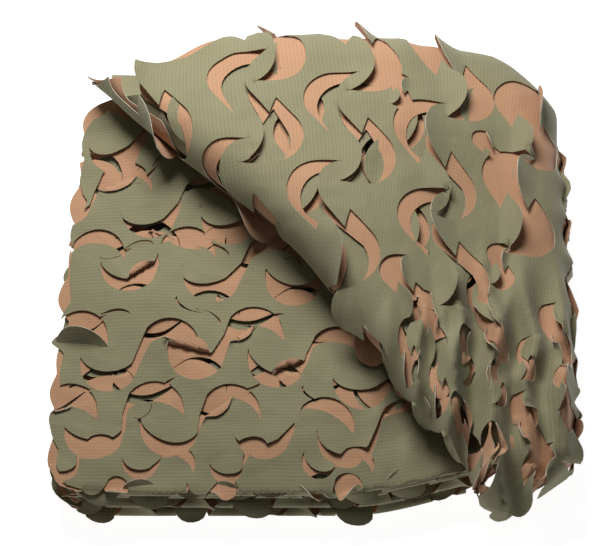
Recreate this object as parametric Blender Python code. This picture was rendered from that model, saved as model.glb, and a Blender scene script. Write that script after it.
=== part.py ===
"""A folded camouflage net: one cloth with rows of S-shaped leaf cuts.

The cloth lies back and forth in a thick pad. Its last four layers are larger than the pad. Their near
left half is turned over a diagonal, and what passes the edges of the pad hangs down over them.

The cloth is drawn flat, in x along its width and v along its length, with its leaf gaps cut out.
cloth_point() then carries each flat point to its place in the pad: fold, turn, drape and sag.
Units are metres, +Z is up, and the pad's near side faces -Y.
"""

import math

import bpy
from mathutils import Vector
from mathutils.geometry import delaunay_2d_cdt

# Cloth
THICK = 0.0016
NET_GREEN = (0.235, 0.225, 0.140, 1.0)
NET_ROUGHNESS = 0.85

# Pad of plain layers, the footprint that it lies on and its pitch
PAD_LAYERS = 10
PAD_PITCH = 0.0070
LEFT = -0.238
RIGHT = 0.202
NEAR = -0.214
FAR = 0.208
EDGE_STEP = 0.006

# The four larger layers on top, which are turned over the diagonal
TURNED_LAYERS = 4
TURNED_PITCH = 0.0056
TURNED_LEFT = -0.290
TURNED_RIGHT = 0.206
OUTER_NEAR = -0.352
INNER_NEAR = -0.262
CORNER_CUT = 0.080
HEM_CORNER_CUT = 0.055
NEAR_HANG = 0.022
UNDER_FLAP = 0.016
INNER_SHORT = 0.100
INNER_SET_IN = 0.045
ROLL_END_SET_IN = 0.026
ROLL_CORE = 0.010
AXIS_NEAR = -0.027
AXIS_BOW = 0.030
AXIS_LEAN = 0.075
AXIS_SPAN = 0.26

# How the turned flap hangs over the pad's edges
CORNER = 0.048
NEAR_LEFT_CORNER = 0.030
FAR_LEFT_CORNER = 0.075
FOLD_SET_IN = 0.005
DRAPE_BEND = 0.036
DRAPE_BELOW = 0.003
FLAT_GAP = 0.002
FLAT_NEAR = 0.4
FLAT_FAR = 0.5
FLAT_FROM = 0.04
PLEAT = 0.005
PLEAT_LENGTH = 0.110
PLEAT_FROM = 0.4 * DRAPE_BEND
PLEAT_FULL = 2.4 * DRAPE_BEND
LEAN = 0.75

# Sag: heights of the finished pad over those of the plain stack
SLOPE_NEAR = 0.86
SLOPE_FAR = 1.50
EDGE_DROP = 0.12
EDGE_REACH = 0.080
PUFF_ROLL = 1.12
PUFF_FAR = 1.14
PUFF_RIGHT = 0.84
PUFF_ROLL_END = -0.05
PUFF_FAR_START = 0.30
PUFF_RIGHT_START = 0.05
SLOPE_MARGIN_NEAR = 0.06
SLOPE_MARGIN_FAR = 0.08
EDGE_OUTSIDE = 0.02
SWELL = 0.03
SWELL_RATES = (14, 11)
NEAR_RIGHT_DRAWN = 0.030
DRAWN_FROM_RIGHT = 0.04
DRAWN_FROM_NEAR = 0.06

# Leaf cuts: an S of two arcs, opened sideways
S_RADIUS = 0.0290
S_OFFSET = 0.0029
S_RISE = 0.02975
S_START = math.radians(72)
S_END = math.radians(250)
S_POINTS = 11
SLIT = 0.0024
TAPER = 0.6
PAD_S = {"origin": (-0.159, -0.081), "along": (0.0775, 0.0), "across": (-0.0175, -0.0735),
         "scale": 0.93, "turn": math.radians(90), "gap": 0.0065}
FLAP_S = {"origin": (0.034, 0.124), "along": (0.000, -0.101), "across": (0.0940, -0.0250),
          "scale": 1.08, "turn": 0.0, "gap": 0.0125}
UNEVEN_GAP = 0.25
UNDER_LAYER_SHIFT = 0.5
LATTICE_REACH = 6
UNDER_ROLL = 0.03
EDGE_MARGIN = 0.006

# The cloth's side edges, which are a little uneven
PAD_EDGE_STEP = 0.004
PAD_EDGE_WAVE = 0.003
LEFT_WAVE_RATE = 40
RIGHT_WAVE_RATE = 37
TURNED_EDGE_WAVE = 0.004
TURNED_LEFT_RATE = 30
TURNED_RIGHT_RATE = 33
LEFT_EASE_FAR = 0.13
ROLL_END_FROM = 0.10
UNDER_FLAP_FULL = 0.08
HANG_FROM = 0.20
HANG_FULL = 0.28
SHORT_FROM = 0.02
SHORT_FULL = 0.20

# Flat grid
COLUMNS = 6
TURNED_COLUMNS = 12
HEM_COLUMNS = 22
LOOP_STEPS = 4
RUN_STEP = 0.080
TURNED_STEP = 0.045
ROLL_EDGE_STEP = 0.013
ROLL_END_FAR = 0.15
ROLL_OVER_EDGE = 0.17
ROLL_ROWS = 9
TURNED_REACH = 9
LAND_MARGIN = 0.01
DRAPE_ROWS = (0.0, 0.012, 0.025, 0.037, 0.050, 0.075)
CLEAR_OF_GAP = 0.005

TOP_OF_PAD = THICK / 2 + (PAD_LAYERS - 1) * PAD_PITCH
TOP_UNTURNED = TOP_OF_PAD + TURNED_LAYERS * TURNED_PITCH
ROLL_OUTER = ROLL_CORE + (TURNED_LAYERS - 1) * TURNED_PITCH
AXIS_HEIGHT = TOP_UNTURNED + ROLL_CORE
DRAPE_HEIGHT = TOP_OF_PAD - DRAPE_BELOW
LAYERS = PAD_LAYERS + TURNED_LAYERS
ROOT2 = math.sqrt(2)


def clamp(value, low, high):
    return max(low, min(high, value))


def smooth(value, low, high):
    """0 below low and 1 above high, with no corner between."""
    part = clamp((value - low) / (high - low), 0.0, 1.0)
    return part * part * (3 - 2 * part)


def wave(*values):
    """An even, repeatable unevenness between -1 and 1."""
    return math.sin(sum((index + 1.7) * value for index, value in enumerate(values)))


# ---- The plain stack ----

def layer_height(layer):
    if layer <= PAD_LAYERS:
        return THICK / 2 + (layer - 1) * PAD_PITCH
    return TOP_OF_PAD + (layer - PAD_LAYERS) * TURNED_PITCH


def near_end(layer):
    """Where a layer's near fold stands. The two layers of one fold share it."""
    if layer > PAD_LAYERS + 2:
        return INNER_NEAR
    if layer > PAD_LAYERS:
        return OUTER_NEAR
    fold = (layer + 1) // 2
    return NEAR + FOLD_SET_IN + EDGE_STEP * (0.5 + 0.5 * wave(fold, 1.0))


def far_end(layer):
    if layer >= PAD_LAYERS:
        return FAR - FOLD_SET_IN
    fold = layer // 2
    return FAR - FOLD_SET_IN - EDGE_STEP * (0.5 + 0.5 * wave(fold, 2.0))


def lay_runs():
    """Rows of the cloth's length: straight runs, and the half-turns that join them."""
    rows = []
    v = 0.0
    for layer in range(1, LAYERS + 1):
        away = layer % 2 == 0
        start, end = (near_end(layer), far_end(layer)) if away else (far_end(layer), near_end(layer))
        rows.append({"kind": "run", "layer": layer, "v": v, "length": abs(end - start), "y": start,
                     "sign": 1 if away else -1})
        v += abs(end - start)
        if layer < LAYERS:
            radius = (layer_height(layer + 1) - layer_height(layer)) / 2
            rows.append({"kind": "turn", "layer": layer, "v": v, "length": math.pi * radius, "y": end,
                         "sign": 1 if away else -1, "radius": radius})
            v += math.pi * radius
    return rows


RUNS = lay_runs()
LENGTH = RUNS[-1]["v"] + RUNS[-1]["length"]


def row_at(v):
    for row in reversed(RUNS):
        if v >= row["v"]:
            return row
    return RUNS[0]


def run_of(layer):
    return next(row for row in RUNS if row["kind"] == "run" and row["layer"] == layer)


def flat_v(layer, y):
    row = run_of(layer)
    return row["v"] + row["sign"] * (y - row["y"])


def stack_point(v, lift):
    """y and z in the plain stack. Lift is measured from the middle of the cloth to its green side."""
    row = row_at(v)
    along = v - row["v"]
    height = layer_height(row["layer"])
    if row["kind"] == "run":
        return row["y"] + row["sign"] * along, height + row["sign"] * lift
    angle = along / row["radius"]
    reach = row["radius"] - row["sign"] * lift
    return row["y"] + row["sign"] * reach * math.sin(angle), height + row["radius"] - reach * math.cos(angle)


# ---- The turn over the diagonal ----

def axis_shift(along):
    """How far the bent roll axis stands toward the near left of the diagonal through the middle."""
    part = clamp(abs(along) / AXIS_SPAN, 0.0, 1.0)
    lean = AXIS_LEAN * clamp(along, -AXIS_SPAN, AXIS_SPAN)
    return AXIS_NEAR + lean + AXIS_BOW * (1 - math.cos(math.pi * part)) / 2


def turn_over(x, y, z):
    along = (x - y) / ROOT2
    shift = axis_shift(along)
    past = -(x + y) / ROOT2 - shift
    if past <= 0:
        return x, y, z
    radius = AXIS_HEIGHT - z
    if past < math.pi * ROLL_OUTER:
        angle = past / ROLL_OUTER
        across = radius * math.sin(angle)
        height = AXIS_HEIGHT - radius * math.cos(angle)
    else:
        across = math.pi * ROLL_OUTER - past
        height = AXIS_HEIGHT + radius
    across += shift
    return (along - across) / ROOT2, (-along - across) / ROOT2, height


def turn_back(x, y):
    """The place, before the turn, of a point of the landed flap. Past the roll the flap's plane runs on."""
    along = (x - y) / ROOT2
    across = 2 * axis_shift(along) + math.pi * ROLL_OUTER + (x + y) / ROOT2
    return (along - across) / ROOT2, (-along - across) / ROOT2


# ---- Flattening and draping ----

def flatness(x, y):
    """1 where the flap is pressed onto what lies under it, 0 where it stays puffed up."""
    near = FLAT_NEAR * smooth(-y, FLAT_FROM, -NEAR)
    return max(smooth(x, 0.0, RIGHT), near, FLAT_FAR * smooth(y, 0.0, FAR))


def press(x, y, z):
    low = TOP_UNTURNED + THICK
    high = AXIS_HEIGHT + ROLL_CORE - THICK
    part = clamp((z - low) / (high - low), 0.0, 1.0)
    return z - part * (high - low - FLAT_GAP) * flatness(x, y)


def drape(x, y, z):
    """Bends what passes the footprint's edge over it and straight down, with pleats."""
    if y < NEAR:
        x -= LEAN * (NEAR - y)
    middle = ((LEFT + RIGHT) / 2, (NEAR + FAR) / 2)
    half = ((RIGHT - LEFT) / 2 - CORNER, (FAR - NEAR) / 2 - CORNER)
    core = (clamp(x, middle[0] - half[0], middle[0] + half[0]), clamp(y, middle[1] - half[1], middle[1] + half[1]))
    out = math.hypot(x - core[0], y - core[1])
    beyond = out - CORNER
    if beyond <= 0:
        return x, y, z
    way = ((x - core[0]) / out, (y - core[1]) / out)
    radius = z - DRAPE_HEIGHT
    angle = min(beyond / DRAPE_BEND, math.pi / 2)
    reach = CORNER + radius * math.sin(angle)
    height = DRAPE_HEIGHT + radius * math.cos(angle) - max(0.0, beyond - DRAPE_BEND * math.pi / 2)
    around = (core[0] + core[1]) + CORNER * (math.atan2(way[1], way[0]) if way[0] > 0 else 0.0)
    pleat = PLEAT * (1 + wave(around * 2 * math.pi / PLEAT_LENGTH))
    reach += pleat * smooth(beyond, PLEAT_FROM, PLEAT_FULL)
    return core[0] + way[0] * reach, core[1] + way[1] * reach, height


def sag(x, y, z):
    """The finished heights: thin at the near side and the edges, full at the far side and along the roll."""
    far_part = smooth(y, NEAR - SLOPE_MARGIN_NEAR, FAR + SLOPE_MARGIN_FAR)
    rise = SLOPE_NEAR + (SLOPE_FAR - SLOPE_NEAR) * far_part
    inward = min(x - LEFT, RIGHT - x, y - NEAR, FAR - y)
    rise *= 1 - EDGE_DROP * (1 - smooth(inward, -EDGE_OUTSIDE, EDGE_REACH))
    rise *= 1 + SWELL * wave(x * SWELL_RATES[0], y * SWELL_RATES[1])
    puff = PUFF_ROLL + (PUFF_FAR - PUFF_ROLL) * smooth(x + y, PUFF_ROLL_END, PUFF_FAR_START)
    puff += (PUFF_RIGHT - puff) * smooth(x, PUFF_RIGHT_START, RIGHT)
    low = min(z, TOP_OF_PAD)
    y += NEAR_RIGHT_DRAWN * smooth(x, DRAWN_FROM_RIGHT, RIGHT) * smooth(-y, DRAWN_FROM_NEAR, -NEAR)
    return x, y, low * rise + (z - low) * puff


def cloth_point(x, v, lift):
    y, z = stack_point(v, lift)
    if v > run_of(PAD_LAYERS)["v"] + run_of(PAD_LAYERS)["length"]:
        x, y, z = turn_over(x, y, z)
        z = press(x, y, z)
        x, y, z = drape(x, y, z)
    return sag(x, y, z)


# ---- The flat cloth ----

def corner_inset(y, near_radius, far_radius):
    """How far a side edge curves in toward the near and far folds."""
    near = clamp(near_radius - (y - NEAR - FOLD_SET_IN), 0.0, near_radius)
    far = clamp(far_radius - (FAR - FOLD_SET_IN - y), 0.0, far_radius)
    near_inset = near_radius - math.sqrt(near_radius**2 - near**2)
    return near_inset + far_radius - math.sqrt(far_radius**2 - far**2)


def left_edge(layer, y):
    if layer <= PAD_LAYERS:
        uneven = PAD_EDGE_STEP * (1 + wave(layer, 3.0))
        uneven += PAD_EDGE_WAVE * (1 + wave(y * LEFT_WAVE_RATE, layer))
        return LEFT + uneven + corner_inset(y, NEAR_LEFT_CORNER, FAR_LEFT_CORNER)
    ease = smooth(-y, -LEFT_EASE_FAR, 0.0)
    unturned = LEFT + ROLL_END_SET_IN + (FAR_LEFT_CORNER - ROLL_END_SET_IN) * smooth(y, ROLL_END_FROM, FAR)
    edge = unturned + (TURNED_LEFT - unturned) * ease + TURNED_EDGE_WAVE * wave(y * TURNED_LEFT_RATE, layer)
    edge += max(0.0, near_end(layer) + CORNER_CUT - y)
    return edge + (INNER_SET_IN if layer > PAD_LAYERS + 2 else 0.0)


def right_edge(layer, y):
    if layer <= PAD_LAYERS:
        uneven = PAD_EDGE_STEP * (1 + wave(layer, 4.0))
        uneven += PAD_EDGE_WAVE * (1 + wave(y * RIGHT_WAVE_RATE, layer))
        return RIGHT - uneven - corner_inset(y, CORNER, CORNER)
    edge = TURNED_RIGHT - TURNED_EDGE_WAVE * (1 + wave(y * TURNED_RIGHT_RATE, layer))
    edge -= corner_inset(max(y, 0.0), 0.0, CORNER) + UNDER_FLAP * smooth(y, 0.0, UNDER_FLAP_FULL)
    edge += NEAR_HANG * smooth(-y, HANG_FROM, HANG_FULL) - max(0.0, near_end(layer) + HEM_CORNER_CUT - y)
    return edge - (INNER_SHORT * smooth(-y, SHORT_FROM, SHORT_FULL) if layer > PAD_LAYERS + 2 else 0.0)


def row_stations():
    """Every v at which the flat grid has a row, with the layer and y that set its width."""
    stations = []
    for row in RUNS:
        if row["kind"] == "run":
            pad = row["layer"] <= PAD_LAYERS
            steps = round(row["length"] / (RUN_STEP if pad else ROLL_EDGE_STEP))
            for step in range(steps + 1):
                along = row["length"] * step / steps
                if not pad and step % 2 and not 0.0 < row["y"] + row["sign"] * along < ROLL_END_FAR:
                    continue
                stations.append((row["v"] + along, row["layer"], row["y"] + row["sign"] * along, row["kind"]))
        else:
            for step in range(1, LOOP_STEPS):
                along = row["length"] * step / LOOP_STEPS
                layer = row["layer"] + (step >= LOOP_STEPS / 2)
                stations.append((row["v"] + along, layer, row["y"], row["kind"]))
    return stations


def s_outline(gap, scale):
    """One leaf cut about its middle, long way up: an S whose banks have moved apart sideways."""
    banks = ([], [])
    for step in range(S_POINTS):
        part = 2 * step / (S_POINTS - 1)
        side = 1 if part <= 1 else -1
        angle = S_START + (S_END - S_START) * (part if part <= 1 else 2 - part)
        x = side * (S_OFFSET + S_RADIUS * math.cos(angle))
        y = side * (S_RISE + S_RADIUS * math.sin(angle))
        heading = (-math.sin(angle), math.cos(angle))
        if abs(part - 1) < 1e-6:
            x, y = 0.0, 0.0
        normal = (heading[1], -heading[0])
        half = (abs(normal[0]) * gap / 2 + SLIT / 2) * math.sin(math.pi * step / (S_POINTS - 1)) ** TAPER
        banks[0].append((x * scale + normal[0] * half, y * scale + normal[1] * half))
        banks[1].append((x * scale - normal[0] * half, y * scale - normal[1] * half))
    return banks[0] + banks[1][-2:0:-1]


def turned(point, angle):
    return (point[0] * math.cos(angle) - point[1] * math.sin(angle),
            point[0] * math.sin(angle) + point[1] * math.cos(angle))


def past_axis(x, y):
    """How far a point of the unturned layers lies past the roll's axis."""
    return -(x + y) / ROOT2 - axis_shift((x - y) / ROOT2)


def shows(outline, layer):
    """Whether a cut lies where its layer can be seen, straight on or through the cuts above it."""
    nearest = min(past_axis(x, y) for x, y in outline)
    if layer <= PAD_LAYERS:
        return nearest > -UNDER_ROLL
    return nearest > (0.0 if layer == PAD_LAYERS + 1 else math.pi * ROLL_OUTER * 0.9)


def s_gaps(layer):
    """The leaf gaps of one layer, as closed lines of flat points."""
    lattice = PAD_S if layer <= PAD_LAYERS else FLAP_S
    shift = UNDER_LAYER_SHIFT if layer in (PAD_LAYERS - 1, PAD_LAYERS + 2) else 0.0
    origin, along, across = lattice["origin"], lattice["along"], lattice["across"]
    gaps = []
    for i in range(-LATTICE_REACH, LATTICE_REACH + 1):
        for j in range(-LATTICE_REACH, LATTICE_REACH + 1):
            middle = [origin[axis] + (i + shift) * along[axis] + j * across[axis] for axis in (0, 1)]
            gap = lattice["gap"] * (1 + UNEVEN_GAP * wave(i * 2.1, j * 1.3))
            outline = [turned(point, lattice["turn"]) for point in s_outline(gap, lattice["scale"])]
            outline = [(middle[0] + x, middle[1] + y) for x, y in outline]
            if layer > PAD_LAYERS:
                outline = [turn_back(x, y) for x, y in outline]
            flat = [(x, flat_v(layer, y)) for x, y in outline]
            if shows(outline, layer) and all(inside_cloth(x, v, layer) for x, v in flat):
                gaps.append(flat)
    return gaps


def inside_cloth(x, v, layer):
    row = run_of(layer)
    if not row["v"] + EDGE_MARGIN < v < row["v"] + row["length"] - EDGE_MARGIN:
        return False
    y = row["y"] + row["sign"] * (v - row["v"])
    return left_edge(layer, y) + EDGE_MARGIN < x < right_edge(layer, y) - EDGE_MARGIN


def in_polygon(point, polygon):
    x, y = point
    odd = False
    for (x1, y1), (x2, y2) in zip(polygon, polygon[1:] + polygon[:1]):
        if (y1 > y) != (y2 > y) and x < (x2 - x1) * (y - y1) / (y2 - y1) + x1:
            odd = not odd
    return odd


def distance_to(point, polygon):
    best = math.inf
    for a, b in zip(polygon, polygon[1:] + polygon[:1]):
        side = (b[0] - a[0], b[1] - a[1])
        along = (point[0] - a[0]) * side[0] + (point[1] - a[1]) * side[1]
        part = clamp(along / math.dist(a, b) ** 2, 0.0, 1.0)
        best = min(best, math.dist(point, (a[0] + part * side[0], a[1] + part * side[1])))
    return best


def turned_stations():
    """Flat points of the turned layers: close rows along the roll and the bends over the pad's edges."""
    places = []
    rows = [math.pi * ROLL_OUTER * row / (ROLL_ROWS - 1) for row in range(ROLL_ROWS)]
    rows += [-TURNED_STEP * row for row in range(1, TURNED_REACH)]
    rows += [rows[ROLL_ROWS - 1] + TURNED_STEP * row for row in range(1, TURNED_REACH)]
    for past in rows:
        for station in range(-2 * TURNED_REACH, 2 * TURNED_REACH + 1):
            along = station * TURNED_STEP / 2
            if station % 2 and not (0.0 < past < math.pi * ROLL_OUTER and along > ROLL_OVER_EDGE):
                continue
            across = past + axis_shift(along)
            x, y = (along - across) / ROOT2, (-along - across) / ROOT2
            landed = turn_back(x, y)
            on_top = landed[0] < RIGHT - LAND_MARGIN and NEAR + LAND_MARGIN < landed[1] < FAR - LAND_MARGIN
            if past <= math.pi * ROLL_OUTER or on_top:
                places.append((x, y))
    for beyond in DRAPE_ROWS:
        for station in range(-6, 8):
            places.append(turn_back(RIGHT + beyond, station * TURNED_STEP))
            places.append(turn_back(station * TURNED_STEP, NEAR - beyond))
            places.append(turn_back(station * TURNED_STEP, FAR + beyond))
    points = []
    for layer in range(PAD_LAYERS + 1, LAYERS + 1):
        points += [(x, flat_v(layer, y)) for x, y in places if inside_cloth(x, flat_v(layer, y), layer)]
    return points


def flat_net():
    """The cut cloth, flat: its points and its triangles."""
    points, edges = [], []

    def add(point):
        points.append(Vector(point))
        return len(points) - 1

    gaps = [gap for layer in range(PAD_LAYERS - 1, PAD_LAYERS + 3) for gap in s_gaps(layer)]
    lefts, rights = [], []
    for v, layer, y, kind in row_stations():
        left, right = left_edge(layer, y), right_edge(layer, y)
        lefts.append((left, v))
        rights.append((right, v))
        line = [add((left, v)), add((right, v))]
        columns = COLUMNS if layer <= PAD_LAYERS else TURNED_COLUMNS
        if layer in (PAD_LAYERS + 1, PAD_LAYERS + 2) and abs(y - OUTER_NEAR) < 1e-6:
            columns = HEM_COLUMNS
        inner = []
        at_fold = kind == "turn" or min(abs(y - near_end(layer)), abs(y - far_end(layer))) < 1e-6
        if layer > PAD_LAYERS and not at_fold:
            continue
        for column in range(1, columns):
            point = (left + (right - left) * column / columns, v)
            if kind == "turn" or all(distance_to(point, gap) > CLEAR_OF_GAP for gap in gaps):
                inner.append(add(point))
        if kind == "turn" or len(inner) == columns - 1:
            chain = [line[0], *inner, line[1]]
            edges += list(zip(chain, chain[1:]))
    outline = lefts + rights[::-1]
    near = [(gap, min(v for x, v in gap), max(v for x, v in gap)) for gap in gaps]
    for point in turned_stations():
        close = [gap for gap, low, high in near if low - LAND_MARGIN < point[1] < high + LAND_MARGIN]
        if all(not in_polygon(point, gap) and distance_to(point, gap) > CLEAR_OF_GAP for gap in close):
            add(point)
    for line in [outline, *gaps]:
        start = len(points)
        for point in line:
            add(point)
        edges += [(start + i, start + (i + 1) % len(line)) for i in range(len(line))]
    found, _, faces, *_ = delaunay_2d_cdt(points, edges, [], 0, 1e-5)
    kept = []
    for face in faces:
        middle = sum((found[i] for i in face), Vector((0, 0))) / 3
        close = [gap for gap, low, high in near if low < middle.y < high]
        if in_polygon(middle, outline) and not any(in_polygon(middle, gap) for gap in close):
            kept.append(tuple(face))
    return found, kept


def build_net():
    """Both faces of the cloth and the cut walls between them, as one closed mesh."""
    flat, faces = flat_net()
    used = sorted({i for face in faces for i in face})
    place = {old: new for new, old in enumerate(used)}
    count = len(used)
    vertices = [cloth_point(flat[i].x, flat[i].y, THICK / 2) for i in used]
    vertices += [cloth_point(flat[i].x, flat[i].y, -THICK / 2) for i in used]
    polygons = []
    sides = set()
    for face in faces:
        a, b, c = (place[i] for i in face)
        polygons.append((a, b, c))
        polygons.append((c + count, b + count, a + count))
        sides |= {(a, b), (b, c), (c, a)}
    for a, b in sorted(sides):
        if (b, a) not in sides:
            polygons.append((b, a, a + count))
            polygons.append((b, a + count, b + count))
    mesh = bpy.data.meshes.new("netting")
    mesh.from_pydata(vertices, [], polygons)
    mesh.validate()
    return mesh


def green_cloth():
    material = bpy.data.materials.new("net_green")
    material.use_nodes = True
    shader = material.node_tree.nodes["Principled BSDF"]
    shader.inputs["Base Color"].default_value = NET_GREEN
    shader.inputs["Roughness"].default_value = NET_ROUGHNESS
    shader.inputs["Metallic"].default_value = 0.0
    return material


def settle_on_ground(net):
    """Moves the mesh so that the middle of its footprint is at the object's origin, on the ground."""
    low = [min(vertex.co[axis] for vertex in net.data.vertices) for axis in range(3)]
    high = [max(vertex.co[axis] for vertex in net.data.vertices) for axis in range(3)]
    shift = Vector((-(low[0] + high[0]) / 2, -(low[1] + high[1]) / 2, -low[2]))
    for vertex in net.data.vertices:
        vertex.co += shift


def main():
    for old in list(bpy.data.objects):
        bpy.data.objects.remove(old, do_unlink=True)
    net = bpy.data.objects.new("netting", build_net())
    net.data.materials.append(green_cloth())
    bpy.context.scene.collection.objects.link(net)
    settle_on_ground(net)


main()
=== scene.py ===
"""Looks of the folded camouflage net.

The net is one cloth, green on one side and brown on the other, with rows of S-shaped leaf cuts. It lies
back and forth in a pad of ten layers. Four larger layers on top are turned over a diagonal, so that the
cloth's green underside shows there, and they hang over the pad's edges.

Each stretch of the cloth is drawn flat, in x along its width and v along its length, with its cuts open.
cloth_points() carries flat points to their place in the pad. Its steps are those of the CAD part's folds.
"plan" coordinates are x and y of the pad for its layers, and of the landed flap for the turned layers.
Units are metres, +Z is up, and the pad's near side faces -Y.
"""

import math
from collections import namedtuple

import bpy
import numpy as np
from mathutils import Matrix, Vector
from mathutils.geometry import delaunay_2d_cdt
from mathutils.kdtree import KDTree


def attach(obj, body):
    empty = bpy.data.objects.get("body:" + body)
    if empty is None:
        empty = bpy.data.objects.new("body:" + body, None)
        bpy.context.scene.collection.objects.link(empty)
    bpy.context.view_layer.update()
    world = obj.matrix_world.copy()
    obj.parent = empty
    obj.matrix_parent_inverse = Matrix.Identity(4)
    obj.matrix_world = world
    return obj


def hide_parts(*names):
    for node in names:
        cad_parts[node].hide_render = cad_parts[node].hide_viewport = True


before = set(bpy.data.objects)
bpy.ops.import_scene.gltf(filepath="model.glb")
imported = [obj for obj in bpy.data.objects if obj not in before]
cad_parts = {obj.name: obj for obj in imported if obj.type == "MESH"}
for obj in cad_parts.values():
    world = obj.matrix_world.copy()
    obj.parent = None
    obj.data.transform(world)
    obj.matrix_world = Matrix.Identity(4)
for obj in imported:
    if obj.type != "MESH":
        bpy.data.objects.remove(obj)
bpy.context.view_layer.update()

# Lengths under these are no length to divide by
TINY, NO_LENGTH = 1e-9, 1e-12
ROOT2 = math.sqrt(2)

# ---- The folds: the CAD part's sizes, apart from those marked as the scene's own ----

CAD_THICK = 0.0016

# The pad of plain layers, its footprint and how unevenly its folds stand
PAD_LAYERS = 10
PAD_PITCH = 0.0070
LEFT, RIGHT = -0.238, 0.202
NEAR, FAR = -0.214, 0.208
EDGE_STEP = 0.006

# The four larger layers on top, which are turned over the diagonal
TURNED_LAYERS = 4
TURNED_PITCH = 0.0056
TURNED_LEFT, TURNED_RIGHT = -0.290, 0.206
OUTER_NEAR, INNER_NEAR = -0.352, -0.262
CORNER_CUT, UNDER_FLAP, INNER_SHORT = 0.080, 0.016, 0.100
ROLL_CORE = 0.010
AXIS_NEAR, AXIS_BOW, AXIS_LEAN, AXIS_SPAN = -0.027, 0.030, 0.075, 0.26
# Scene's own: what is cut off the hem's corner, how far the hem reaches past its line at the near side,
# and how far in the inner layers and the roll's far end stand
HEM_CORNER_CUT, NEAR_HANG = 0.054, -0.002
INNER_SET_IN, ROLL_END_SET_IN = 0.028, 0.012

# How the turned flap lies and hangs over the pad's edges
CORNER, NEAR_LEFT_CORNER = 0.048, 0.030
FOLD_SET_IN = 0.005
DRAPE_BEND, DRAPE_BELOW = 0.036, 0.003
FLAT_GAP, FLAT_NEAR, FLAT_FAR, FLAT_FROM = 0.002, 0.4, 0.5, 0.04
PLEAT_FROM, PLEAT_FULL = DRAPE_BEND * 0.4, DRAPE_BEND * 2.4
LEAN = 0.75
# Scene's own: the far left corner, and the pleats, which are sharp ridges with an uneven spacing
FAR_LEFT_CORNER = 0.050
PLEAT, PLEAT_LENGTH, PLEAT_SWAY, PLEAT_SWAY_RATE = 0.011, 0.042, 0.6, 23

# Sag: heights of the finished pad over those of the plain stack
SLOPE_NEAR, SLOPE_FAR, SLOPE_MARGIN_NEAR, SLOPE_MARGIN_FAR = 0.86, 1.50, 0.06, 0.08
EDGE_DROP, EDGE_REACH, EDGE_OUTSIDE = 0.12, 0.080, -0.02
SWELL, SWELL_ACROSS, SWELL_ALONG = 0.03, 14, 11
PUFF_ROLL, PUFF_FAR, PUFF_RIGHT = 1.12, 1.14, 0.84
PUFF_ROLL_END, PUFF_FAR_START, PUFF_RIGHT_START = -0.05, 0.30, 0.05
NEAR_RIGHT_DRAWN, DRAWN_FROM_RIGHT, DRAWN_FROM_NEAR = 0.030, 0.04, 0.06
# Scene's own: swells from the wrinkles, and the height from which they are full
WRINKLE_SWELL, WRINKLE_STRETCH, WRINKLES_FROM = 0.0026, 0.8, 0.01

TOP_OF_PAD = CAD_THICK / 2 + (PAD_LAYERS - 1) * PAD_PITCH
TOP_UNTURNED = TOP_OF_PAD + TURNED_LAYERS * TURNED_PITCH
ROLL_OUTER = ROLL_CORE + (TURNED_LAYERS - 1) * TURNED_PITCH
AXIS_HEIGHT = TOP_UNTURNED + ROLL_CORE
DRAPE_HEIGHT = TOP_OF_PAD - DRAPE_BELOW
LAYERS = PAD_LAYERS + TURNED_LAYERS
# The turned layer that shows on the flap, and the one under it there
FLAP_TOP, FLAP_UNDER = PAD_LAYERS + 1, PAD_LAYERS + 2

# The CAD part is moved so that the middle of its footprint is the origin
SETTLE = (-0.01109, -0.01959, 0.0)

# Scene's own: depth of the pad's layers under its top one, in millimetres, where the upper ones lie
# close, as if pressed, and the turned layers' heights over it
PAD_DEPTHS = (63.0, 54.2, 45.6, 37.2, 29.0, 21.0, 13.2, 6.0, 2.2, 0.0)
TURNED_RISES = (5.6, 7.8, 10.4, 14.4)
# Scene's own: how much further than in the CAD part the turned layers' far folds reach
FAR_OUT, FAR_OUT_INNER = 0.010, 0.020
# Scene's own: how far in the pad's left side leans toward the far side, how far in the turned layers stand at
# the far left, and the share of its height that the pad loses at the far right, and gains at the far left
LEFT_SLANT, TURNED_FAR_CORNER, FAR_TILT = 0.014, 0.022, 0.06

# ---- The cloth ----

THICK = 0.0007

# Leaf cuts: an S of two arcs, from its tip to its bend, and a barb in its middle
S_RADIUS, S_OFFSET, S_RISE = 0.0290, 0.0029, 0.02975
S_START, S_BEND = math.radians(72), math.radians(222)
S_BARB = (-0.0030, -0.0085)
# A cut of size 1 keeps its barb where it is shut, or where its gap is at least this wide
BARB_GAP = 0.019
# From a cut's tip to the middle of its tongue's root
S_TIP = 0.032
# Cloth lost along every cut, how far from the tips that starts, and how far from them a gap opens
SLIT, SLIT_TAPER = 0.0008, 0.003
OPEN_FROM, OPEN_RAMP = 0.001, 0.013
# Radius of the bend where a tongue's tip is folded back over it
FOLD_BEND = 0.0012

# The side edges' unevenness: steps from layer to layer, waves along them, and the arcs of cut leaves
EDGE_UNEVEN, EDGE_WAVE, TURNED_EDGE_WAVE, LEAF_EDGE = 0.004, 0.003, 0.004, 0.006
# The hem's leaves: depth of the notches between them, their width, and how much shorter the under layer is
HEM_NOTCH, HEM_LEAF, HEM_UNDER_SHORT = 0.026, 0.031, 0.010


def smooth(value, low, high):
    """0 below low and 1 above high, with no corner between."""
    part = np.clip((value - low) / (high - low), 0.0, 1.0)
    return part * part * (3 - 2 * part)


def wave(*values):
    """A repeatable unevenness between -1 and 1. Bare numbers in its calls keep them apart or are rates."""
    return np.sin(sum((index + 1.7) * value for index, value in enumerate(values)))


def ridges(phase):
    """Even, sharp ridges between 0 and 1, one for each half turn."""
    return 1 - np.abs(np.sin(phase))


def inside_by(x, y):
    """How far inside the pad's footprint points are."""
    return np.minimum(np.minimum(x - LEFT, RIGHT - x), np.minimum(y - NEAR, FAR - y))


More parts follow.
